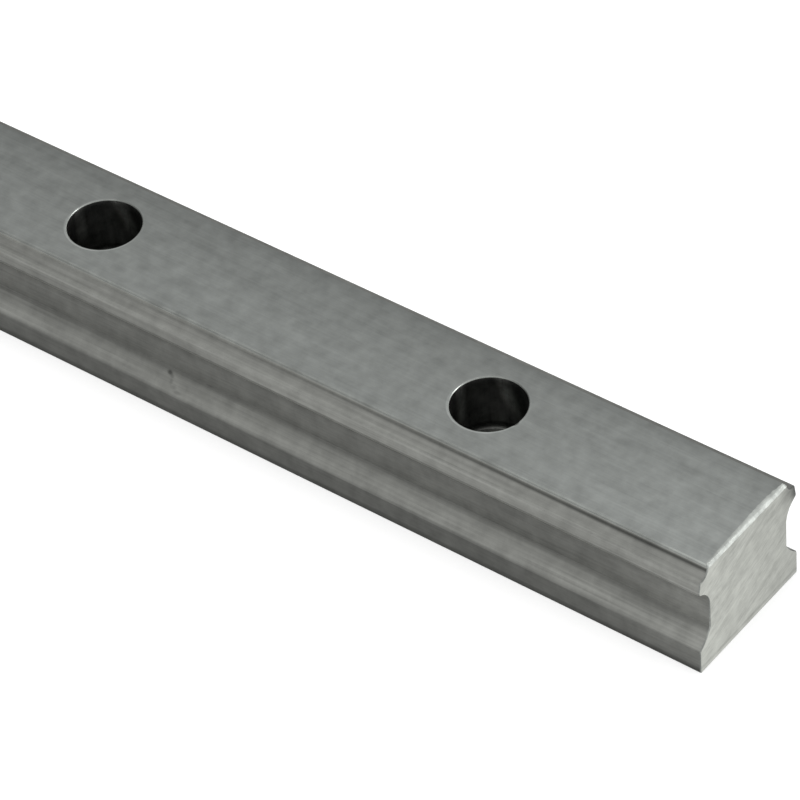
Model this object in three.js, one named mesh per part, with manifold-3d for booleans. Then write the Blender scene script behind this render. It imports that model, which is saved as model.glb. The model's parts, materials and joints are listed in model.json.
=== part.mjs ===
// Profile rail of a size-20 linear guide: one ground steel bar with shaped flanks
// and a row of counterbored screw holes. Millimetres, +Z up, the rail runs along X.
// The origin is the middle of the bottom face.

import * as THREE from 'three';
import { mergeVertices } from 'three/addons/utils/BufferGeometryUtils.js';
import Module from 'manifold-3d';

const wasm = await Module();
wasm.setup();

// Overall size
const RAIL_WIDTH = 20;
const RAIL_HEIGHT = 16;
const HOLE_PITCH = 60;
const HOLE_COUNT = 4;
const END_DISTANCE = 37; // end face to the first hole's axis
const RAIL_LENGTH = (HOLE_COUNT - 1) * HOLE_PITCH + 2 * END_DISTANCE;

// Foot, the widest part of the section, which sits against the machine's datum edge
const FOOT_HALF_WIDTH = RAIL_WIDTH / 2;
const FOOT_EDGE_BREAK = 0.3; // chamfer along the bottom edges
const FOOT_SIDE_TOP = 3.4; // the vertical datum face ends here
const FOOT_SHOULDER_IN = 0.25;
const FOOT_SHOULDER_TOP = 3.68;
const FLARE_RADIUS = 7.5;

// Waist, the narrowest part
const WAIST_HALF_WIDTH = 7.9;
const WAIST_BOTTOM = 5.95;
const WAIST_TOP = 9.7;

// Head, with a ball raceway under and over the lip on each side
const LOWER_RACEWAY_RADIUS = 3.1;
const LIP_UNDERSIDE_Z = 12.55;
const LIP_UNDERSIDE_HALF_WIDTH = 9.85;
const LIP_BOTTOM_Z = 12.85;
const LIP_BOTTOM_HALF_WIDTH = 9.96;
const LIP_TOP_Z = 14.42;
const LIP_TOP_HALF_WIDTH = 9.68;
const UPPER_RACEWAY_RADIUS = 1.5;
const NOTCH_Z = 15.25;
const NOTCH_HALF_WIDTH = 8.17;
const TOP_FACE_HALF_WIDTH = 7.85;
const TOP_EDGE_BREAK = 0.2;

// Screw holes for M5 socket head cap screws
const COUNTERBORE_DIAMETER = 9.5;
const COUNTERBORE_DEPTH = 8.5;
const SHANK_DIAMETER = 6;
const RIM_BREAK = 0.2; // chamfer round the counterbore's mouth
const HOLE_SEGMENTS = 40;

const RACEWAY_STEPS = 6;
const FLARE_STEPS = 4;
const CUTTER_OVERRUN = 1; // how far a cutter runs past the faces it opens

const point = (y, z) => new THREE.Vector2(y, z);

// Points on the hollow arc between two outline points, both ends left out. The outline
// runs anticlockwise, so the centre of a hollow arc lies on the right of the chord.
function hollowArc(from, to, radius, steps) {
  const chord = to.clone().sub(from);
  const halfChord = chord.length() / 2;
  const outward = point(chord.y, -chord.x).normalize();
  const centre = from.clone().add(to).multiplyScalar(0.5);
  centre.addScaledVector(outward, Math.sqrt(radius ** 2 - halfChord ** 2));
  const start = from.clone().sub(centre).angle();
  const sweep = -2 * Math.asin(halfChord / radius);
  const points = [];
  for (let step = 1; step < steps; step += 1) {
    const angle = start + (sweep * step) / steps;
    points.push(point(centre.x + radius * Math.cos(angle), centre.y + radius * Math.sin(angle)));
  }
  return points;
}

// The +Y half of the section, from the bottom face up to the top face
function halfSection() {
  const shoulder = point(FOOT_HALF_WIDTH - FOOT_SHOULDER_IN, FOOT_SHOULDER_TOP);
  const waistBottom = point(WAIST_HALF_WIDTH, WAIST_BOTTOM);
  const waistTop = point(WAIST_HALF_WIDTH, WAIST_TOP);
  const lipUnderside = point(LIP_UNDERSIDE_HALF_WIDTH, LIP_UNDERSIDE_Z);
  const lipTop = point(LIP_TOP_HALF_WIDTH, LIP_TOP_Z);
  const notch = point(NOTCH_HALF_WIDTH, NOTCH_Z);
  return [
    point(FOOT_HALF_WIDTH - FOOT_EDGE_BREAK, 0),
    point(FOOT_HALF_WIDTH, FOOT_EDGE_BREAK),
    point(FOOT_HALF_WIDTH, FOOT_SIDE_TOP),
    shoulder,
    ...hollowArc(shoulder, waistBottom, FLARE_RADIUS, FLARE_STEPS),
    waistBottom,
    waistTop,
    ...hollowArc(waistTop, lipUnderside, LOWER_RACEWAY_RADIUS, RACEWAY_STEPS),
    lipUnderside,
    point(LIP_BOTTOM_HALF_WIDTH, LIP_BOTTOM_Z),
    lipTop,
    ...hollowArc(lipTop, notch, UPPER_RACEWAY_RADIUS, RACEWAY_STEPS),
    notch,
    point(TOP_FACE_HALF_WIDTH + TOP_EDGE_BREAK, RAIL_HEIGHT - TOP_EDGE_BREAK),
    point(TOP_FACE_HALF_WIDTH, RAIL_HEIGHT),
  ];
}

// The bar before it is drilled: the full section, extruded along X about the origin
function barGeometry() {
  const right = halfSection();
  const left = right.map((corner) => point(-corner.x, corner.y)).reverse();
  const section = new THREE.Shape([...right, ...left]);
  const geometry = new THREE.ExtrudeGeometry(section, { depth: RAIL_LENGTH, bevelEnabled: false });
  geometry.translate(0, 0, -RAIL_LENGTH / 2);
  const along = new THREE.Vector3(1, 0, 0);
  const across = new THREE.Vector3(0, 1, 0);
  const up = new THREE.Vector3(0, 0, 1);
  return geometry.applyMatrix4(new THREE.Matrix4().makeBasis(across, up, along));
}

// The stepped shape that one screw hole takes out of the bar
function holeCutterGeometry() {
  const shankRadius = SHANK_DIAMETER / 2;
  const boreRadius = COUNTERBORE_DIAMETER / 2;
  const seatZ = RAIL_HEIGHT - COUNTERBORE_DEPTH;
  const outline = [
    point(0, -CUTTER_OVERRUN),
    point(shankRadius, -CUTTER_OVERRUN),
    point(shankRadius, seatZ),
    point(boreRadius, seatZ),
    point(boreRadius, RAIL_HEIGHT - RIM_BREAK),
    point(boreRadius + RIM_BREAK + CUTTER_OVERRUN, RAIL_HEIGHT + CUTTER_OVERRUN),
    point(0, RAIL_HEIGHT + CUTTER_OVERRUN),
  ];
  const geometry = new THREE.LatheGeometry(outline, HOLE_SEGMENTS);
  return geometry.rotateX(Math.PI / 2);
}

function toSolid(geometry) {
  geometry.deleteAttribute('normal');
  geometry.deleteAttribute('uv');
  const merged = mergeVertices(geometry, 1e-5);
  return new wasm.Manifold(
    new wasm.Mesh({
      numProp: 3,
      vertProperties: new Float32Array(merged.attributes.position.array),
      triVerts: new Uint32Array(merged.index.array),
    }),
  );
}

function toGeometry(solid) {
  const mesh = solid.getMesh();
  const geometry = new THREE.BufferGeometry();
  geometry.setAttribute('position', new THREE.BufferAttribute(mesh.vertProperties, 3));
  geometry.setIndex(new THREE.BufferAttribute(mesh.triVerts, 1));
  geometry.computeVertexNormals();
  return geometry;
}

function makeRail() {
  let solid = toSolid(barGeometry());
  for (let index = 0; index < HOLE_COUNT; index += 1) {
    const cutter = holeCutterGeometry();
    cutter.translate((index - (HOLE_COUNT - 1) / 2) * HOLE_PITCH, 0, 0);
    solid = solid.subtract(toSolid(cutter));
  }
  const steel = new THREE.MeshStandardMaterial({ color: 0x8e908d, roughness: 0.38, metalness: 1 });
  const rail = new THREE.Mesh(toGeometry(solid), steel);
  rail.name = 'rail';
  return rail;
}

const linearGuideRail = new THREE.Group();
linearGuideRail.add(makeRail());

export default linearGuideRail;
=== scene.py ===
"""Profile rail of a size-20 linear guide: a fine mesh and ground-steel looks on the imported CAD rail."""

import json
import math

import bmesh
import bpy
from mathutils import Matrix, Vector, noise
from mathutils.geometry import delaunay_2d_cdt


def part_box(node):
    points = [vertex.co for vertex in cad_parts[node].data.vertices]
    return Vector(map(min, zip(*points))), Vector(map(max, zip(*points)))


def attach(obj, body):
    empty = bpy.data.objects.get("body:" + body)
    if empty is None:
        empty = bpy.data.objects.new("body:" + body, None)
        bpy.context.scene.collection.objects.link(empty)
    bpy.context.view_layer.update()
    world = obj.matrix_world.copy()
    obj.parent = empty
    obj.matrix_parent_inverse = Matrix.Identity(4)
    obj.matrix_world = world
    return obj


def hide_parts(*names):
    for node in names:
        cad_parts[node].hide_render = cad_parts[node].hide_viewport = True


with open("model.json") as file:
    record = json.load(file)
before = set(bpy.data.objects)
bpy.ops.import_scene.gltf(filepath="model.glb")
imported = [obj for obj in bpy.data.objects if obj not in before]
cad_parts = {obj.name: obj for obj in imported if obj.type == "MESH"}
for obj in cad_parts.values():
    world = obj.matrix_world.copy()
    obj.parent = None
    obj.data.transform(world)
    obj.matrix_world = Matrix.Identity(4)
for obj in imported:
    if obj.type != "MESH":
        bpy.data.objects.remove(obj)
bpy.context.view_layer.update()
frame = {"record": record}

MM = 0.001

# ---------------------------------------------------------------- sizes, in millimetres

RAIL_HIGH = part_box("rail")[1] / MM  # its highest corner
HALF_LENGTH = RAIL_HIGH.x
HALF_WIDTH = RAIL_HIGH.y
HEIGHT = RAIL_HIGH.z

# Section, from the foot up
FOOT_EDGE_BREAK = 0.08
FOOT_SIDE_TOP = 3.4
FOOT_SHOULDER_IN = 0.25
FOOT_SHOULDER_TOP = 3.68
FLARE_RADIUS = 7.5
WAIST_HALF_WIDTH = 7.9
WAIST_BOTTOM = 5.95
WAIST_TOP = 9.7
LOWER_RACEWAY_RADIUS = 3.1
LIP_UNDERSIDE_Z = 12.55
LIP_UNDERSIDE_HALF_WIDTH = 9.85
LIP_BOTTOM_Z = 12.85
LIP_BOTTOM_HALF_WIDTH = 9.96
LIP_TOP_Z = 14.42
LIP_TOP_HALF_WIDTH = 9.68
UPPER_RACEWAY_RADIUS = 1.5
NOTCH_Z = 15.25
NOTCH_HALF_WIDTH = 8.17
TOP_FACE_HALF_WIDTH = 7.85
TOP_EDGE_BREAK = 0.2

ARC_FACET = 0.16  # length of one facet on a raceway
CORNER_CUT = 0.15  # how far a broken corner is cut back along each side
CORNER_STEPS = 4
SWEEP_STEP = 8.0  # length of one facet along the rail

# Screw holes, whose axes and seats are where the record's mounts say
SEATS = [m["pos_m"] for m in frame["record"]["mounts"] if m["name"].startswith("screw_seat_")]
HOLE_XS = [seat[0] / MM for seat in SEATS]
HOLE_PITCH = 60.0
SEAT_Z = SEATS[0][2] / MM
COUNTERBORE_RADIUS = 4.75
SHANK_RADIUS = 3.0
RIM_BREAK = 0.16
RIM_CURVE = ((1.0, 0.0), (0.62, 0.16), (0.24, 0.52))  # outward and down, as shares of the break
SEAT_EDGE_BREAK = 0.15
HOLE_SEGMENTS = 144
BORE_STEPS = 6  # facets down the counterbore's wall

# A small nick in the rim of the hole nearest the +X end
NICK_ANGLE = math.radians(348)
NICK_HALF_ANGLE = math.radians(6)
NICK_DEPTHS = (0.22, 0.2, 0.12)  # at each level of the rim's break, from the top face down

# Ends: a narrow break all round, and a wider hand-filed bevel along the top edge
END_BREAK_ALONG = 0.16
END_BREAK_IN = 0.08
BEVEL_ALONGS = ((-7.9, 0.5), (3.0, 0.82), (5.5, 0.78), (7.9, 0.48))  # how wide it is along X, by Y
BEVEL_STEEP_ALONG = 0.24
BEVEL_SHALLOW_DROP = 0.14
BEVEL_DROP = 0.42
BEVEL_POINTS = 110
BEVEL_FADE_FROM = 0.3  # it begins where the outline's normal points up by this much,
BEVEL_FADE_SPAN = 0.6  # and is full when it points up by this much more

# How the filing wanders, by Y
RAGGED = 0.09
RAGGED_SCALE = 1.7
RAGGED_SEED = 9.0
RAGGED_FINE_SHARE = 0.4
RAGGED_FINE_SCALE = 2.1
RAGGED_STEEP_SHARE = 0.4  # of that in the steep facet's width
RAGGED_SHALLOW_SHARE = 0.2  # in the shallow facet's drop
RAGGED_DROP_SHARE = 0.5  # and in the whole drop

# Filling of plane areas
CDT_INSIDE = 1  # keeps only the triangles inside the outline
CDT_TOLERANCE = 1e-6

# ---------------------------------------------------------------- section outline


def hollow_arc(start, end, radius):
    """Points on the hollow arc from start to end, both left out; its centre is right of the chord."""
    chord = end - start
    half_chord = chord.length / 2
    outward = Vector((chord.y, -chord.x)).normalized()
    centre = (start + end) / 2 + outward * math.sqrt(radius**2 - half_chord**2)
    sweep = -2 * math.asin(half_chord / radius)
    steps = max(2, round(radius * abs(sweep) / ARC_FACET))
    arm = start - centre
    return [centre + Matrix.Rotation(sweep * i / steps, 2) @ arm for i in range(1, steps)]


def half_section():
    """The +Y half from the foot up: (point, zone of the stretch after it, zone of its broken corner)."""
    half_top = TOP_FACE_HALF_WIDTH
    shoulder = Vector((HALF_WIDTH - FOOT_SHOULDER_IN, FOOT_SHOULDER_TOP))
    waist_low = Vector((WAIST_HALF_WIDTH, WAIST_BOTTOM))
    waist_high = Vector((WAIST_HALF_WIDTH, WAIST_TOP))
    underside = Vector((LIP_UNDERSIDE_HALF_WIDTH, LIP_UNDERSIDE_Z))
    lip_low = Vector((LIP_BOTTOM_HALF_WIDTH, LIP_BOTTOM_Z))
    lip_high = Vector((LIP_TOP_HALF_WIDTH, LIP_TOP_Z))
    notch = Vector((NOTCH_HALF_WIDTH, NOTCH_Z))
    corners = [
        (Vector((HALF_WIDTH - FOOT_EDGE_BREAK, 0)), "foot_edge", None),
        (Vector((HALF_WIDTH, FOOT_EDGE_BREAK)), "foot_side", "foot_edge"),
        (Vector((HALF_WIDTH, FOOT_SIDE_TOP)), "shoulder", "shoulder"),
        (shoulder, "flare", "shoulder"),
    ]
    corners += [(p, "flare", None) for p in hollow_arc(shoulder, waist_low, FLARE_RADIUS)]
    corners += [(waist_low, "waist", None), (waist_high, "lower_raceway", None)]
    lower = hollow_arc(waist_high, underside, LOWER_RACEWAY_RADIUS)
    corners += [(p, "lower_raceway", None) for p in lower]
    corners += [
        (underside, "lip_edge", None),
        (lip_low, "lip", "lip_edge"),
        (lip_high, "upper_raceway", "lip_edge"),
    ]
    upper = hollow_arc(lip_high, notch, UPPER_RACEWAY_RADIUS)
    corners += [(p, "upper_raceway", None) for p in upper]
    corners += [
        (notch, "wall", None),
        (Vector((half_top + TOP_EDGE_BREAK, HEIGHT - TOP_EDGE_BREAK)), "top_edge", "top_edge"),
        (Vector((half_top, HEIGHT)), "top", None),
    ]
    return corners


def broken(corners):
    """Rounds the corners that have a zone for it, each by a small curve that touches both sides."""
    outline = []
    for i, (corner, zone, corner_zone) in enumerate(corners):
        if corner_zone is None:
            outline.append((corner, zone))
            continue
        sides = [corners[j][0] - corner for j in (i - 1, i + 1)]
        start, end = (corner + s.normalized() * min(CORNER_CUT, s.length / 2) for s in sides)
        for step in range(CORNER_STEPS):
            t = step / CORNER_STEPS
            bend = start * (1 - t) ** 2 + corner * 2 * t * (1 - t) + end * t**2
            outline.append((bend, corner_zone))
        outline.append((end, zone))
    return outline


def full_section():
    """The whole outline, anticlockwise with +Y to the right, as (point, zone of the stretch after it)."""
    right = broken(half_section())
    left = []
    for i in range(len(right) - 1, -1, -1):
        point, _ = right[i]
        zone = right[i - 1][1] if i else "bottom"
        left.append((Vector((-point.x, point.y)), zone))
    top_points = []
    half_top = TOP_FACE_HALF_WIDTH
    for i in range(1, BEVEL_POINTS):
        top_points.append((Vector((half_top - 2 * half_top * i / BEVEL_POINTS, HEIGHT)), "top"))
    return right + top_points + left


SECTION = full_section()
COUNT = len(SECTION)
POINTS = [point for point, _ in SECTION]
ZONES = [zone for _, zone in SECTION]


def outward_normals():
    """The outline's outward unit normal at each of its points."""
    normals = []
    for i in range(COUNT):
        along = POINTS[(i + 1) % COUNT] - POINTS[i - 1]
        normals.append(Vector((along.y, -along.x)).normalized())
    return normals


NORMALS = outward_normals()

# ---------------------------------------------------------------- mesh

FLAT_ZONES = ("top", "bottom", "foot_side", "waist", "lip", "wall", "end_bevel", "sawn_end", "seat")
ZONE_FINISH = {
    "top": "ground_face",
    "bottom": "ground_face",
    "foot_side": "drawn_flank",
    "shoulder": "ground_flank",
    "flare": "ground_flank",
    "waist": "drawn_flank",
    "lower_raceway": "ground_flank",
    "lip_edge": "ground_flank",
    "lip": "ground_flank",
    "upper_raceway": "ground_flank",
    "wall": "ground_flank",
    "foot_edge": "drawn_flank",
    "top_edge": "broken_edge",
    "end_edge": "filed_edge",
    "end_bevel": "filed_edge",
    "rim": "broken_edge",
    "sawn_end": "sawn_end",
    "bore": "bore",
    "seat": "bore",
}


def add_face(bm, corners, zone):
    face = bm.faces.new(corners)
    face.material_index = FINISHES.index(ZONE_FINISH[zone])
    face.smooth = zone not in FLAT_ZONES
    return face


def add_vert(bm, x, y, z):
    return bm.verts.new(Vector((x, y, z)) * MM)


def bevel_share(i):
    """1 on the top face, falling to 0 at the foot of the top edge's break: where the end bevel is wide."""
    if POINTS[i].y < NOTCH_Z + TOP_EDGE_BREAK:
        return 0.0
    return min(1.0, max(0.0, (NORMALS[i].y - BEVEL_FADE_FROM) / BEVEL_FADE_SPAN))


def raggedness(y, side):
    """How far the filing wanders at y, in millimetres."""
    seat = Vector((y * RAGGED_SCALE, RAGGED_SEED * side, 0.0))
    fine = noise.noise(seat * RAGGED_FINE_SCALE)
    return RAGGED * (noise.noise(seat) + RAGGED_FINE_SHARE * fine)


def between(stops, value):
    """value looked up in (value, result) stops, straight between them and held at both ends."""
    value = min(max(value, stops[0][0]), stops[-1][0])
    for (low, first), (high, second) in zip(stops, stops[1:], strict=False):
        if value <= high:
            return first + (second - first) * (value - low) / (high - low)


def end_rows(bm, side):
    """Three rows of vertices that turn the flanks into the end face. side is +1 or -1 along X."""
    rows = ([], [], [])
    for i, (point, normal) in enumerate(zip(POINTS, NORMALS, strict=True)):
        share = bevel_share(i)
        ragged = raggedness(point.x, side)
        wide = between(BEVEL_ALONGS, point.x) + ragged
        along = END_BREAK_ALONG + share * (wide - END_BREAK_ALONG)
        steep = BEVEL_STEEP_ALONG + RAGGED_STEEP_SHARE * ragged
        middle = END_BREAK_ALONG / 2 + share * (steep - END_BREAK_ALONG / 2)
        rows[0].append(add_vert(bm, side * (HALF_LENGTH - along), *point))
        inner = point - normal * END_BREAK_IN / 3
        top = HEIGHT - share * (BEVEL_SHALLOW_DROP + RAGGED_SHALLOW_SHARE * ragged)
        rows[1].append(add_vert(bm, side * (HALF_LENGTH - middle), inner.x, min(inner.y, top)))
        inner = point - normal * END_BREAK_IN
        top = HEIGHT - (BEVEL_DROP + RAGGED_DROP_SHARE * ragged)
        rows[2].append(add_vert(bm, side * HALF_LENGTH, inner.x, min(inner.y, top)))
    return rows


def bridge(bm, first, second, zone):
    """Quads between two closed rows, of which second lies further towards -X."""
    for i in range(COUNT):
        j = (i + 1) % COUNT
        add_face(bm, (first[i], second[i], second[j], first[j]), zone)


def on_face(i):
    """True for an outline point inside the top face, which only the end bevels need."""
    return ZONES[i] == "top" and ZONES[i - 1] == "top"


def sweep(bm, front_row, back_row):
    """The flanks between the two ends. The top and bottom faces are filled separately."""
    steps = round(2 * HALF_LENGTH / SWEEP_STEP)
    rows = [front_row]
    for step in range(1, steps):
        x = HALF_LENGTH - 2 * HALF_LENGTH * step / steps
        rows.append([None if on_face(i) else add_vert(bm, x, *POINTS[i]) for i in range(COUNT)])
    rows.append(back_row)
    for first, second in zip(rows, rows[1:], strict=False):
        for i in range(COUNT):
            if ZONES[i] in ("top", "bottom"):
                continue
            j = (i + 1) % COUNT
            add_face(bm, (first[i], second[i], second[j], first[j]), ZONES[i])
    return rows


def fill(bm, loops, zone, flat, flip=False):
    """Triangles over a plane area: inside the first loop and outside the others."""
    verts = [v for loop in loops for v in loop]
    edges = []
    start = 0
    for loop in loops:
        count = len(loop)
        edges += [(start + i, start + (i + 1) % count) for i in range(count)]
        start += count
    spots = [flat(v.co / MM) for v in verts]
    rings = [[flat(v.co / MM) for v in loop] for loop in loops[1:]]
    filled = delaunay_2d_cdt(spots, edges, [], CDT_INSIDE, CDT_TOLERANCE)
    places, _, triangles, sources = filled[:4]
    for triangle in triangles:
        corners = [verts[sources[i][0]] for i in triangle]
        middle = sum((places[i] for i in triangle), Vector((0, 0))) / 3
        if any(inside(middle, ring) for ring in rings):
            continue
        add_face(bm, corners[::-1] if flip else corners, zone)


def inside(spot, ring):
    """True if spot lies inside the closed ring of points."""
    crossings = 0
    for a, b in zip(ring, ring[1:] + ring[:1], strict=True):
        if (a.y > spot.y) != (b.y > spot.y):
            crossings += spot.x < a.x + (b.x - a.x) * (spot.y - a.y) / (b.y - a.y)
    return crossings % 2 == 1


def hole_profile():
    """The hole's wall from the top face down, as (radius, z, zone of the stretch after it)."""
    bore = COUNTERBORE_RADIUS
    shank = SHANK_RADIUS
    bore_top = HEIGHT - RIM_BREAK
    wall = [(bore + out * RIM_BREAK, HEIGHT - down * RIM_BREAK, "rim") for out, down in RIM_CURVE]
    for i in range(BORE_STEPS):
        wall.append((bore, bore_top + (SEAT_Z - bore_top) * i / BORE_STEPS, "bore"))
    wall += [
        (bore, SEAT_Z, "seat"),
        (shank + SEAT_EDGE_BREAK, SEAT_Z, "bore"),
        (shank, SEAT_Z - SEAT_EDGE_BREAK, "bore"),
        (shank, SEAT_Z / 2, "bore"),
        (shank, SEAT_EDGE_BREAK, "rim"),
        (shank + SEAT_EDGE_BREAK, 0, None),
    ]
    return wall


def nick_share(angle):
    """1 in the middle of the rim's nick, falling to 0 at its ends."""
    off = abs(angle - NICK_ANGLE) / NICK_HALF_ANGLE
    return max(0.0, 1 - off**2)


def add_hole(bm, x, nicked):
    """One counterbored hole. Returns its rims in the top and bottom faces, anticlockwise from above."""
    rows = []
    profile = hole_profile()
    for level, (radius, z, _) in enumerate(profile):
        row = []
        nick_depth = NICK_DEPTHS[level] if nicked and level < len(NICK_DEPTHS) else 0.0
        for i in range(HOLE_SEGMENTS):
            angle = math.tau * i / HOLE_SEGMENTS
            reach = radius + nick_depth * nick_share(angle)
            row.append(add_vert(bm, x + reach * math.cos(angle), reach * math.sin(angle), z))
        rows.append(row)
    for (_, _, zone), upper, lower in zip(profile, rows, rows[1:], strict=False):
        for i in range(HOLE_SEGMENTS):
            j = (i + 1) % HOLE_SEGMENTS
            add_face(bm, (upper[i], upper[j], lower[j], lower[i]), zone)
    return rows[0], rows[-1]


def top_outline(front, back, rows):
    """The outer loop of the top face, from the +X end along -Y to the -X end and back along +Y."""
    right = ZONES.index("top")
    left = COUNT - ZONES[::-1].index("top")
    outline = front[right : left + 1]
    outline += [row[left] for row in rows[1:-1]]
    outline += back[right : left + 1][::-1]
    outline += [row[right] for row in rows[1:-1]][::-1]
    return outline


def bottom_outline(rows):
    """The outer loop of the bottom face, along its -Y edge and back along +Y."""
    return [row[-1] for row in rows] + [row[0] for row in rows][::-1]


def make_rail():
    bm = bmesh.new()
    front = end_rows(bm, 1)
    back = end_rows(bm, -1)
    for rows, near in ((front, True), (back, False)):
        for outer, inner, zone in ((rows[0], rows[1], "end_edge"), (rows[1], rows[2], "end_bevel")):
            pair = (inner, outer) if near else (outer, inner)
            bridge(bm, *pair, zone)
    rows = sweep(bm, front[0], back[0])
    rims = [add_hole(bm, x, nicked=x == max(HOLE_XS)) for x in HOLE_XS]
    fill(bm, [front[2]], "sawn_end", lambda p: Vector((p.y, p.z)))
    fill(bm, [back[2]], "sawn_end", lambda p: Vector((p.y, p.z)), flip=True)
    top_loops = [top_outline(front[0], back[0], rows)] + [rim[0] for rim in rims]
    fill(bm, top_loops, "top", lambda p: Vector((p.x, p.y)))
    bottom_loops = [bottom_outline(rows)] + [rim[1] for rim in rims]
    fill(bm, bottom_loops, "bottom", lambda p: Vector((p.x, p.y)), flip=True)

    mesh = bpy.data.meshes.new("rail_fine")
    bm.normal_update()
    bm.to_mesh(mesh)
    bm.free()
    rail = bpy.data.objects.new("rail_fine", mesh)
    bpy.context.scene.collection.objects.link(rail)
    return rail


# ---------------------------------------------------------------- looks: places in millimetres

FINE_SHARE = 0.55  # of the fine strokes in the grain, against the broader streaks
STREAK_RATIO = 5  # how many times broader the streaks are than the strokes
STREAK_SHIFT = 7.3  # takes the streaks' noise to another place than the strokes'
CLOUD_SCALE = 430.0  # cells of the soft clouding per metre
TONE_RANGE = (0.36, 0.64)  # noise that gives the darkest and the brightest steel
GRAIN_RANGE = (0.35, 0.65)  # noise that gives the roughest and the smoothest steel
GRAIN_DEPTH = 2e-6  # metres
RAMP_LIMIT = 2.0  # the results of a ramp stay under this
SAW_ANGLE = 18.5  # degrees of the strokes on the ends, above +Y

# Painted shade on the top face by Y, darker towards +Y, and painted light that brightens it towards both
# ends
FACE_SHADES = ((-8.0, 1.0), (-3.0, 1.0), (5.5, 0.86), (6.5, 0.81), (7.4, 0.76), (8.0, 0.72))
FACE_GLOW_X = (85.0, 128.0)
FACE_GLOW = 1.14

# A thin bright ring round each hole, by Y, where its rim was deburred. Its gains by Y, highest towards -Y,
# are painted light
RING_RADIUS = 5.02
RING_HALF_WIDTHS = (0.04, 0.17)  # of the bright middle, and of the whole ring
RING_GAINS = ((-5.2, 1.45), (0.0, 1.12), (5.2, 1.04))

# Painted shade and light on the flank by Z: painted shade in the inner corners, painted light on the lip
# and under it
FLANK_SHADES = (
    (3.3, 0.72),
    (3.65, 1.0),
    (3.9, 1.03),
    (4.3, 1.0),
    (4.8, 0.93),
    (5.35, 0.86),
    (5.6, 0.7),
    (5.9, 0.57),
    (9.7, 0.9),
    (12.2, 1.12),
    (12.6, 1.62),
    (12.9, 0.98),
    (13.6, 0.98),
    (14.35, 1.12),
    (14.5, 0.88),
    (14.9, 0.98),
    (15.8, 1.06),
)
# Painted shade on the drawn flanks by Z: darkest along the foot, with a dip in the inner corner
DRAWN_SHADES = (
    (0.0, 0.35),
    (0.35, 0.4),
    (0.65, 0.48),
    (1.0, 0.68),
    (3.3, 0.74),
    (5.9, 0.62),
    (6.3, 0.7),
    (7.5, 0.82),
    (9.0, 0.9),
    (9.7, 0.82),
)

# Painted light and shade: how much brighter or duller the flanks are close to the ends, by Z
FLANK_GLOW_X = (108.0, 130.0)
FLANK_END_GAINS = (
    (3.3, 0.84),
    (5.9, 0.86),
    (9.7, 1.2),
    (14.1, 1.2),
    (14.4, 0.8),
    (15.0, 0.88),
    (15.2, 1.04),
)
DRAWN_END_GAINS = ((0.4, 0.95), (1.4, 1.5), (9.7, 1.45))

# Painted shade: the lip darkens a little between these X
LIP_Z = 13.4
LIP_HALF_HEIGHTS = (0.5, 0.85)
LIP_SHADE_X = (85.0, 20.0)
LIP_SHADE = 0.86

# Painted shade in the notch beside the top edge, which is lighter towards -X
NOTCH_SHADE_Z = 15.3
NOTCH_SHADE_HALF_HEIGHTS = (0.05, 0.4)
NOTCH_SHADE_X = (42.0, 112.0)
NOTCH_SHADE_DEPTH = 0.31

# Painted shade: the +Y upper raceway is darker than the -Y one
BACK_RACEWAY_Z = 15.1
BACK_RACEWAY_HALF_HEIGHTS = (0.75, 1.1)
BACK_RACEWAY_Y = (0.0, 6.0)
BACK_RACEWAY_SHADE = 0.64

# Marks on the steel, as (centre, radii, brightness in the middle)
FLANK_MARKS = (
    ((46.15, -8.3, 5.35), (0.6, 0.5, 0.5), 0.42),  # a small pit
    ((46.6, -8.5, 5.1), (0.45, 0.4, 0.4), 0.72),  # and the scuffs below it
    ((46.7, -8.95, 4.6), (0.4, 0.55, 0.55), 0.76),
    ((47.3, -9.3, 4.15), (0.7, 0.35, 0.35), 0.84),
    ((48.1, -9.6, 3.85), (0.9, 0.35, 0.35), 0.8),
    ((52.3, -7.95, 6.0), (0.9, 0.4, 0.35), 0.78),
)
# Painted shade at the end of the +Y lip, as (centre, radii, brightness in the middle)
END_LIP_SHADE_SPOTS = (
    ((127.0, 10.1, 13.6), (1.0, 1.7, 2.0), 0.34),
    ((127.0, 9.3, 14.2), (1.5, 3.6, 2.6), 0.62),
)
SPOT_CORE = 0.2  # a mark is at its full strength inside this share of its radii

# Painted shade: the ends darken towards +Y. They also have a darker line along the foot
END_SIDE_Y = (-7.0, 8.0)
END_SIDE_SHADES = (1.06, 0.88)
END_LINE_Z = 0.8
END_LINE_HALF_HEIGHTS = (0.1, 0.32)
END_LINE_DEPTH = 0.84

# Painted light and shade on the rims and top edges, and on the filed edges of the ends, by Y
RIM_SHADES = (
    (-8.2, 0.95),
    (-5.3, 0.95),
    (-4.5, 1.0),
    (-3.2, 0.92),
    (-2.4, 0.8),
    (-0.6, 0.92),
    (0.0, 1.0),
    (1.5, 0.95),
    (3.1, 0.74),
    (4.9, 0.66),
    (7.6, 0.8),
    (8.6, 0.4),
)
FILED_SHADES = (
    (-8.2, 0.68),
    (-5.0, 0.86),
    (-3.0, 0.97),
    (1.0, 1.04),
    (5.0, 0.99),
    (7.7, 1.12),
    (8.6, 0.3),
)

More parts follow.
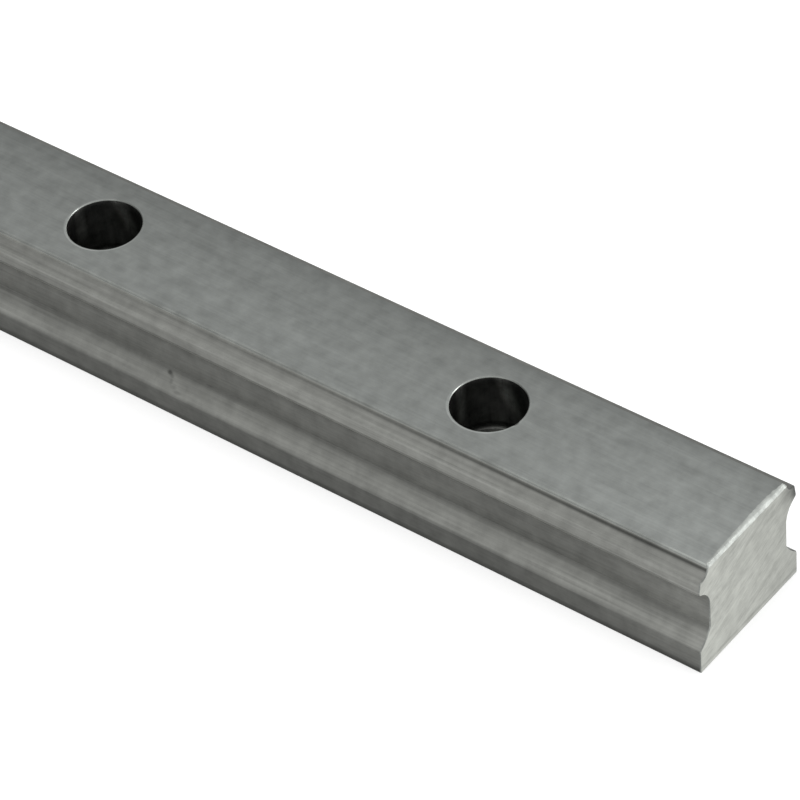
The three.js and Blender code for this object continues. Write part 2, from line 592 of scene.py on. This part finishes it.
# Bores: two painted reflections, placed by their share of the radius in one direction, and a painted
# brighter seat and top
REFLECTION_BEARING = math.radians(41)
UPRIGHT_REFLECTION = -0.68
UPRIGHT_HALF_WIDTHS = (0.02, 0.18)
LEANING_REFLECTION = (0.72, 0.38)  # at its foot and at its top
LEANING_REFLECTION_Z = (SEAT_Z + 2.0, HEIGHT)
LEANING_HALF_WIDTHS = (0.02, 0.27)
REFLECTION_Z = (SEAT_Z + 1.0, SEAT_Z + 5.0)  # both painted reflections brighten between these
REFLECTION_GAIN = 3.3
SEAT_GLOW_Z = (SEAT_Z, SEAT_Z + 1.0)
SEAT_GAIN = 2.8
BORE_Z = (SEAT_Z + 1.5, HEIGHT - 0.8)
BORE_GAINS = (0.78, 1.55)  # low in the bore and near its top

# ---------------------------------------------------------------- materials


class Nodes:
    """A short hand for building one node tree."""

    def __init__(self, tree):
        self.tree = tree
        tree.nodes.clear()

    def add(self, kind, **settings):
        node = self.tree.nodes.new(kind)
        for name, value in settings.items():
            setattr(node, name, value)
        return node

    def feed(self, socket, value):
        """A link where value is another node's output, and a plain setting where it isn't."""
        if isinstance(value, bpy.types.NodeSocket):
            self.tree.links.new(value, socket)
        else:
            socket.default_value = value

    def math(self, operation, a, b=0.0):
        node = self.add("ShaderNodeMath", operation=operation)
        self.feed(node.inputs[0], a)
        self.feed(node.inputs[1], b)
        return node.outputs[0]

    def product(self, *factors):
        result = factors[0]
        for factor in factors[1:]:
            result = self.math("MULTIPLY", result, factor)
        return result

    def mix(self, first, second, share):
        """share of first, and the rest of second."""
        part = self.math("MULTIPLY", first, share)
        rest = self.math("MULTIPLY", second, 1 - share)
        return self.math("ADD", part, rest)

    def remap(self, value, low, high, to_low, to_high, smooth=True):
        """value's range low..high spread over to_low..to_high, and held at both ends."""
        kind = "SMOOTHSTEP" if smooth else "LINEAR"
        node = self.add("ShaderNodeMapRange", interpolation_type=kind, clamp=True)
        for name, setting in (
            ("Value", value),
            ("From Min", low),
            ("From Max", high),
            ("To Min", to_low),
            ("To Max", to_high),
        ):
            self.feed(node.inputs[name], setting)
        return node.outputs["Result"]

    def ramp(self, value, stops):
        """value looked up in (value, result) stops, straight between them and held at both ends."""
        low, high = stops[0][0], stops[-1][0]
        node = self.add("ShaderNodeValToRGB")
        self.feed(node.inputs["Fac"], self.remap(value, low, high, 0.0, 1.0, smooth=False))
        points = node.color_ramp.elements
        while len(points) < len(stops):
            points.new(1.0)
        for point, (at, result) in zip(points, stops, strict=True):
            point.position = (at - low) / (high - low)
            point.color = (*[result / RAMP_LIMIT] * 3, 1.0)
        return self.math("MULTIPLY", node.outputs["Color"], RAMP_LIMIT)

    def place(self):
        """The point's place in the row frame, in metres."""
        return self.add("ShaderNodeTexCoord").outputs["Object"]

    def axes(self, place):
        """x, y and z of a place, in millimetres."""
        parts = self.add("ShaderNodeSeparateXYZ")
        self.feed(parts.inputs["Vector"], place)
        return [self.math("DIVIDE", part, MM) for part in parts.outputs]

    def noise(self, place, scale, turn=(0.0, 0.0, 0.0), detail=2.0, roughness=0.5, shift=0.0):
        """Noise from 0 to 1 whose cells are 1/scale metres long on each axis, after a turn."""
        aim = self.add("ShaderNodeMapping", vector_type="TEXTURE")
        self.feed(aim.inputs["Vector"], place)
        aim.inputs["Rotation"].default_value = turn
        stretch = self.add("ShaderNodeMapping", vector_type="POINT")
        self.feed(stretch.inputs["Vector"], aim.outputs["Vector"])
        stretch.inputs["Location"].default_value = (shift, shift, shift)
        stretch.inputs["Scale"].default_value = scale
        node = self.add("ShaderNodeTexNoise")
        self.feed(node.inputs["Vector"], stretch.outputs["Vector"])
        node.inputs["Scale"].default_value = 1.0
        node.inputs["Detail"].default_value = detail
        node.inputs["Roughness"].default_value = roughness
        return node.outputs["Fac"]

    def band(self, value, middle, half_widths, depth):
        """depth where value is within the first half width of middle, and 1 from the second on."""
        off = self.math("ABSOLUTE", self.math("SUBTRACT", value, middle))
        return self.remap(off, *half_widths, depth, 1.0)

    def mark(self, place, centre, radii, brightness):
        """1 outside an ellipsoid given in millimetres, falling to brightness in the middle of it."""
        offset = self.add("ShaderNodeVectorMath", operation="SUBTRACT")
        self.feed(offset.inputs[0], place)
        offset.inputs[1].default_value = Vector(centre) * MM
        scaled = self.add("ShaderNodeVectorMath", operation="DIVIDE")
        self.feed(scaled.inputs[0], offset.outputs["Vector"])
        scaled.inputs[1].default_value = Vector(radii) * MM
        length = self.add("ShaderNodeVectorMath", operation="LENGTH")
        self.feed(length.inputs[0], scaled.outputs["Vector"])
        share = self.remap(length.outputs["Value"], SPOT_CORE, 1.0, 1.0, 0.0)
        return self.remap(share, 0.0, 1.0, 1.0, brightness, smooth=False)

    def tinted(self, tint, brightness):
        node = self.add("ShaderNodeVectorMath", operation="SCALE")
        node.inputs[0].default_value = tint
        self.feed(node.inputs["Scale"], brightness)
        return node.outputs["Vector"]

    def surface(self, colour, roughness, height, depth, metallic=1.0):
        """The tree's only shader: a metal with this colour, roughness and relief."""
        bump = self.add("ShaderNodeBump")
        bump.inputs["Strength"].default_value = 1.0
        bump.inputs["Distance"].default_value = depth
        self.feed(bump.inputs["Height"], height)
        shader = self.add("ShaderNodeBsdfPrincipled")
        shader.inputs["Metallic"].default_value = metallic
        self.feed(shader.inputs["Base Color"], colour)
        self.feed(shader.inputs["Roughness"], roughness)
        self.feed(shader.inputs["Normal"], bump.outputs["Normal"])
        out = self.add("ShaderNodeOutputMaterial")
        self.feed(out.inputs["Surface"], shader.outputs["BSDF"])
        return shader


def new_material(name):
    material = bpy.data.materials.new(name)
    material.use_nodes = True
    return material, Nodes(material.node_tree)


def steel(name, tint, contrast, strokes, rough, shade, turn=0.0, stroke_share=0.5):
    """Machined steel with fine strokes, broader streaks and clouding. turn is the strokes', about X."""
    material, nodes = new_material(name)
    place = nodes.place()
    turns = (turn, 0.0, 0.0)
    broad = [scale / STREAK_RATIO for scale in strokes]
    fine = nodes.noise(place, strokes, turns, detail=3.0, roughness=0.65)
    streak = nodes.noise(place, broad, turns, detail=2.0, shift=STREAK_SHIFT)
    cloud = nodes.noise(place, [CLOUD_SCALE] * 3, detail=4.0, roughness=0.6)
    grain = nodes.mix(fine, streak, FINE_SHARE)
    mixed = nodes.mix(grain, cloud, stroke_share)
    tone = nodes.remap(mixed, *TONE_RANGE, 1 - contrast, 1 + contrast, smooth=False)
    # shade paints light and shade, and marks, into the colour
    tone = nodes.product(tone, shade(nodes, place))
    smoothest, roughest = rough
    roughness = nodes.remap(grain, *GRAIN_RANGE, roughest, smoothest, smooth=False)
    nodes.surface(nodes.tinted(tint, tone), roughness, grain, GRAIN_DEPTH)
    return material


def painted_end_light(nodes, x, reach, gain):
    """Painted light and shade: the steel's brightness changes by gain towards both ends."""
    return nodes.remap(nodes.math("ABSOLUTE", x), *reach, 1.0, gain)


def from_hole_axis(nodes, x):
    """X measured from the nearest hole's axis: the holes lie HOLE_PITCH apart, either side of x = 0."""
    wrapped = nodes.add("ShaderNodeMath", operation="WRAP")
    nodes.feed(wrapped.inputs[0], x)
    wrapped.inputs[1].default_value = HOLE_PITCH
    wrapped.inputs[2].default_value = 0.0
    return nodes.math("SUBTRACT", wrapped.outputs[0], HOLE_PITCH / 2)


# Painted shade by Y and painted light towards both ends on the top face, and deburred rings round the
# holes whose gain by Y is painted light
def face_shade(nodes, place):
    x, y, _ = nodes.axes(place)
    off = from_hole_axis(nodes, x)
    squares = nodes.math("ADD", nodes.product(off, off), nodes.product(y, y))
    radius = nodes.math("SQRT", squares)
    ring = nodes.band(radius, RING_RADIUS, RING_HALF_WIDTHS, nodes.ramp(y, RING_GAINS))
    across = nodes.ramp(y, FACE_SHADES)
    return nodes.product(across, painted_end_light(nodes, x, FACE_GLOW_X, FACE_GLOW), ring)


# Painted shade and light on the ground flanks by Z and near the ends, painted shade in the notch, on the
# lip and on the +Y upper raceway, and a real pit and scuffs
def flank_shade(nodes, place):
    x, y, z = nodes.axes(place)
    notch_shade_depth = nodes.remap(x, *NOTCH_SHADE_X, 1.0, NOTCH_SHADE_DEPTH, smooth=False)
    notch_shade = nodes.band(z, NOTCH_SHADE_Z, NOTCH_SHADE_HALF_HEIGHTS, notch_shade_depth)
    lip_darkening = nodes.remap(x, *LIP_SHADE_X, 1.0, LIP_SHADE, smooth=False)
    lip = nodes.band(z, LIP_Z, LIP_HALF_HEIGHTS, lip_darkening)
    back = nodes.remap(y, *BACK_RACEWAY_Y, 1.0, BACK_RACEWAY_SHADE)
    back_raceway = nodes.band(z, BACK_RACEWAY_Z, BACK_RACEWAY_HALF_HEIGHTS, back)
    glow = painted_end_light(nodes, x, FLANK_GLOW_X, nodes.ramp(z, FLANK_END_GAINS))
    marks = [nodes.mark(place, *mark) for mark in FLANK_MARKS]
    return nodes.product(nodes.ramp(z, FLANK_SHADES), glow, notch_shade, lip, back_raceway, *marks)


# Painted shade on the drawn flanks by Z, and painted light and shade near the ends
def drawn_shade(nodes, place):
    x, _, z = nodes.axes(place)
    up = nodes.ramp(z, DRAWN_SHADES)
    return nodes.product(up, painted_end_light(nodes, x, FLANK_GLOW_X, nodes.ramp(z, DRAWN_END_GAINS)))


# Painted shade on the ends towards +Y and at the end of the +Y lip, and a darker line along the foot
def end_shade(nodes, place):
    _, y, z = nodes.axes(place)
    side = nodes.remap(y, *END_SIDE_Y, *END_SIDE_SHADES, smooth=False)
    foot_line = nodes.band(z, END_LINE_Z, END_LINE_HALF_HEIGHTS, END_LINE_DEPTH)
    lip_shade_spots = [nodes.mark(place, *shade_spot) for shade_spot in END_LIP_SHADE_SPOTS]
    return nodes.product(side, foot_line, *lip_shade_spots)


# Painted light and shade on the rims and top edges, by Y
def rim_shade(nodes, place):
    _, y, _ = nodes.axes(place)
    return nodes.ramp(y, RIM_SHADES)


# Painted light and shade on the filed edges of the ends, by Y
def filed_shade(nodes, place):
    _, y, _ = nodes.axes(place)
    return nodes.ramp(y, FILED_SHADES)


def bore_painted_light(nodes, place):
    """Painted light in a bore: two reflections down its sides, a brighter seat, and a wall that brightens
    upwards.
    """
    x, y, z = nodes.axes(place)
    along = nodes.math("MULTIPLY", from_hole_axis(nodes, x), math.cos(REFLECTION_BEARING))
    aside = nodes.math("MULTIPLY", y, math.sin(REFLECTION_BEARING))
    share = nodes.math("DIVIDE", nodes.math("ADD", along, aside), COUNTERBORE_RADIUS)
    gain = nodes.remap(z, *REFLECTION_Z, 1.0, REFLECTION_GAIN)
    upright = nodes.band(share, UPRIGHT_REFLECTION, UPRIGHT_HALF_WIDTHS, gain)
    lean = nodes.remap(z, *LEANING_REFLECTION_Z, *LEANING_REFLECTION, smooth=False)
    leaning = nodes.band(nodes.math("SUBTRACT", share, lean), 0.0, LEANING_HALF_WIDTHS, gain)
    seat = nodes.remap(z, *SEAT_GLOW_Z, SEAT_GAIN, 1.0)
    return nodes.product(upright, leaning, seat, nodes.remap(z, *BORE_Z, *BORE_GAINS))


# Each finish's colour, how far its grain and clouding change that, its strokes per metre along X, Y and Z,
# its least and greatest roughness, and the function that paints light and shade, and marks, into it
LOOKS = {
    "ground_face": {
        "tint": (0.53, 0.556, 0.534),
        "contrast": 0.16,
        "strokes": (90.0, 3600.0, 3600.0),
        "rough": (0.3, 0.4),
        "stroke_share": 0.42,
        "shade": face_shade,
    },
    "ground_flank": {
        "tint": (0.56, 0.569, 0.533),
        "contrast": 0.26,
        "strokes": (45.0, 3000.0, 3000.0),
        "rough": (0.28, 0.4),
        "stroke_share": 0.62,
        "shade": flank_shade,
    },
    "drawn_flank": {
        "tint": (0.54, 0.548, 0.515),
        "contrast": 0.24,
        "strokes": (60.0, 2800.0, 2800.0),
        "rough": (0.34, 0.46),
        "stroke_share": 0.58,
        "shade": drawn_shade,
    },
    "broken_edge": {
        "tint": (0.655, 0.685, 0.65),
        "contrast": 0.24,
        "strokes": (300.0, 2500.0, 2500.0),
        "rough": (0.22, 0.34),
        "shade": rim_shade,
    },
    "filed_edge": {
        "tint": (0.66, 0.69, 0.655),
        "contrast": 0.34,
        "strokes": (2500.0, 500.0, 2500.0),
        "rough": (0.4, 0.54),
        "shade": filed_shade,
    },
    "sawn_end": {
        "tint": (0.564, 0.578, 0.534),
        "contrast": 0.2,
        "strokes": (4200.0, 700.0, 4200.0),
        "rough": (0.36, 0.5),
        "turn": math.radians(SAW_ANGLE),
        "stroke_share": 0.6,
        "shade": end_shade,
    },
    # The bores' dark tint is oily steel, made darker still as painted shade of the recess
    "bore": {
        "tint": (0.12, 0.122, 0.117),
        "contrast": 0.7,
        "strokes": (1000.0, 1000.0, 60.0),
        "rough": (0.3, 0.45),
        "shade": bore_painted_light,
    },
}
FINISHES = tuple(LOOKS)  # in the order of the mesh's material slots

# ---------------------------------------------------------------- stage, in metres

CAMERA_AZIMUTH = 40.914
CAMERA_ELEVATION = 42.757
CAMERA_ROLL = -5.2035
CAMERA_DISTANCE = 0.52401
CAMERA_LENS = 198.08
AIM_FROM_END = 0.046263
AIM_Y = -0.005291

# Brightness of the studio by the direction looked in, whose x, y and z run from -1 to 1.
# All but FRONT_GLOW say (from, to, value there, value there).
SIDE_GLOW = (-1.0, 0.6, 0.17, 0.92)  # by x
FRONT_GLOW = (  # by z
    (-1.0, 0.4),
    (-0.66, 0.42),
    (-0.5, 0.95),
    (-0.35, 1.1),
    (0.0, 0.62),
    (0.6, 1.0),
    (1.0, 1.0),
)
IN_FRONT = (0.35, -0.3, 0.0, 1.0)  # by y: where FRONT_GLOW counts
LOW = (-0.2, -0.5, 0.0, 1.0)  # by z
LOW_DIMMING = (0.2, -0.5, 0.0, 0.45)  # by x: how much dimmer it is there
HIGH = (0.1, 0.5, 0.0, 1.0)  # by z
HIGH_DIMMING = (0.0, 0.5, 0.0, 0.45)  # by x: how much dimmer it is there

KEY_PLACE = Vector((0.884, 0.715, 0.624))
KEY_AIM = Vector((0.09, 0.0, 0.016))
KEY_SIZE = 0.4
KEY_POWER = 2.0
OVERHEAD_PLACE = Vector((0.0, 0.0, 2.0))
OVERHEAD_AIM = Vector((0.0, 0.0, 0.0))
OVERHEAD_SIZE = 2.5
OVERHEAD_POWER = 45.0

FLOOR_RADII = (0.02, 0.3, 2.5)  # rings of the flat floor
BEND_RADIUS = 1.5
BEND_STEPS = 12
WALL_TOP = 4.0
FLOOR_TURNS = 64
FLOOR_TINT = (0.6, 0.6, 0.6)
FLOOR_CLOUD_SCALE = (3.0, 3.0, 3.0)
FLOOR_CLOUD_RANGE = (0.3, 0.7)
FLOOR_SHADES = (0.97, 1.0)
FLOOR_ROUGHNESS = 0.9
FLOOR_RELIEF = 1e-5
FLOOR_GLOW = 0.5


def direction(azimuth, elevation):
    """From the object towards a camera there: azimuth 0 stands at -Y and 90 at +X, both in degrees."""
    a = math.radians(azimuth)
    e = math.radians(elevation)
    return Vector((math.sin(a) * math.cos(e), -math.cos(a) * math.cos(e), math.sin(e)))


def add_camera():
    data = bpy.data.cameras.new("camera")
    data.lens = CAMERA_LENS
    camera = bpy.data.objects.new("camera", data)
    bpy.context.scene.collection.objects.link(camera)
    back = direction(CAMERA_AZIMUTH, CAMERA_ELEVATION)
    aim = Vector((HALF_LENGTH * MM - AIM_FROM_END, AIM_Y, HEIGHT * MM))
    level = (-back).to_track_quat("-Z", "Y").to_matrix()
    turn = level @ Matrix.Rotation(math.radians(CAMERA_ROLL), 3, "Z")
    camera.matrix_world = Matrix.Translation(aim + back * CAMERA_DISTANCE) @ turn.to_4x4()
    bpy.context.scene.camera = camera


def add_world():
    """A soft grey studio: brighter towards +X, and uneven on the -Y side."""
    world = bpy.data.worlds.new("studio")
    world.use_nodes = True
    bpy.context.scene.world = world
    nodes = Nodes(world.node_tree)
    towards = nodes.add("ShaderNodeTexCoord").outputs["Generated"]
    parts = nodes.add("ShaderNodeSeparateXYZ")
    nodes.feed(parts.inputs["Vector"], towards)
    x, y, z = parts.outputs
    sideways = nodes.remap(x, *SIDE_GLOW, smooth=False)
    front = nodes.ramp(z, FRONT_GLOW)
    low_dimming = nodes.product(nodes.remap(z, *LOW), nodes.remap(x, *LOW_DIMMING))
    behind = nodes.math("SUBTRACT", 1.0, low_dimming)
    in_front = nodes.remap(y, *IN_FRONT)
    uneven = nodes.math("ADD", behind, nodes.product(in_front, nodes.math("SUBTRACT", front, behind)))
    high_dimming = nodes.product(nodes.remap(z, *HIGH), nodes.remap(x, *HIGH_DIMMING))
    ceiling = nodes.math("SUBTRACT", 1.0, high_dimming)
    background = nodes.add("ShaderNodeBackground")
    background.inputs["Color"].default_value = (1.0, 1.0, 1.0, 1.0)
    nodes.feed(background.inputs["Strength"], nodes.product(sideways, uneven, ceiling))
    out = nodes.add("ShaderNodeOutputWorld")
    nodes.feed(out.inputs["Surface"], background.outputs["Background"])


def add_softbox(name, place, aim, size, power):
    data = bpy.data.lights.new(name, "AREA")
    data.shape = "SQUARE"
    data.size = size
    data.energy = power
    light = bpy.data.objects.new(name, data)
    bpy.context.scene.collection.objects.link(light)
    light.location = place
    light.rotation_mode = "QUATERNION"
    light.rotation_quaternion = (aim - place).to_track_quat("-Z", "Y")
    light.visible_camera = False
    return light


def add_lights():
    """A key light that only makes glints, and an overhead one that only lights matt surfaces."""
    key = add_softbox("key", KEY_PLACE, KEY_AIM, KEY_SIZE, KEY_POWER)
    key.visible_diffuse = False
    overhead = add_softbox("overhead", OVERHEAD_PLACE, OVERHEAD_AIM, OVERHEAD_SIZE, OVERHEAD_POWER)
    overhead.visible_glossy = False


def floor_material():
    material, nodes = new_material("studio_floor")
    cloud = nodes.noise(nodes.place(), FLOOR_CLOUD_SCALE)
    colour = nodes.tinted(FLOOR_TINT, nodes.remap(cloud, *FLOOR_CLOUD_RANGE, *FLOOR_SHADES))
    shader = nodes.surface(colour, FLOOR_ROUGHNESS, cloud, FLOOR_RELIEF, metallic=0.0)
    shader.inputs["Emission Color"].default_value = (1.0, 1.0, 1.0, 1.0)
    shader.inputs["Emission Strength"].default_value = FLOOR_GLOW
    return material


def floor_profile():
    """The floor and wall from the middle out, as (radius, z)."""
    profile = [(radius, 0.0) for radius in FLOOR_RADII]
    flat_radius = FLOOR_RADII[-1]
    for i in range(1, BEND_STEPS + 1):
        angle = math.pi / 2 * i / BEND_STEPS
        radius = flat_radius + BEND_RADIUS * math.sin(angle)
        profile.append((radius, BEND_RADIUS * (1 - math.cos(angle))))
    profile.append((flat_radius + BEND_RADIUS, WALL_TOP))
    return profile


def floor_ring(bm, radius, z):
    angles = [math.tau * i / FLOOR_TURNS for i in range(FLOOR_TURNS)]
    return [bm.verts.new((radius * math.cos(a), radius * math.sin(a), z)) for a in angles]


def add_floor():
    """A pale floor that curves up into a round wall, seen by the camera and left out of reflections."""
    bm = bmesh.new()
    rows = [floor_ring(bm, radius, z) for radius, z in floor_profile()]
    bm.faces.new(rows[0])
    for low, high in zip(rows, rows[1:], strict=False):
        for i in range(FLOOR_TURNS):
            j = (i + 1) % FLOOR_TURNS
            bm.faces.new((low[i], high[i], high[j], low[j])).smooth = True
    mesh = bpy.data.meshes.new("floor")
    bm.to_mesh(mesh)
    bm.free()
    floor = bpy.data.objects.new("floor", mesh)
    bpy.context.scene.collection.objects.link(floor)
    mesh.materials.append(floor_material())
    floor.visible_glossy = False
    floor.visible_diffuse = False
    floor.visible_shadow = False


# ---------------------------------------------------------------- the object and the scene

rail = make_rail()
for finish in FINISHES:
    rail.data.materials.append(steel(finish, **LOOKS[finish]))
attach(rail, "root")
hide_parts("rail")

add_camera()
add_world()
add_lights()
add_floor()
bpy.context.scene.view_settings.view_transform = "Standard"
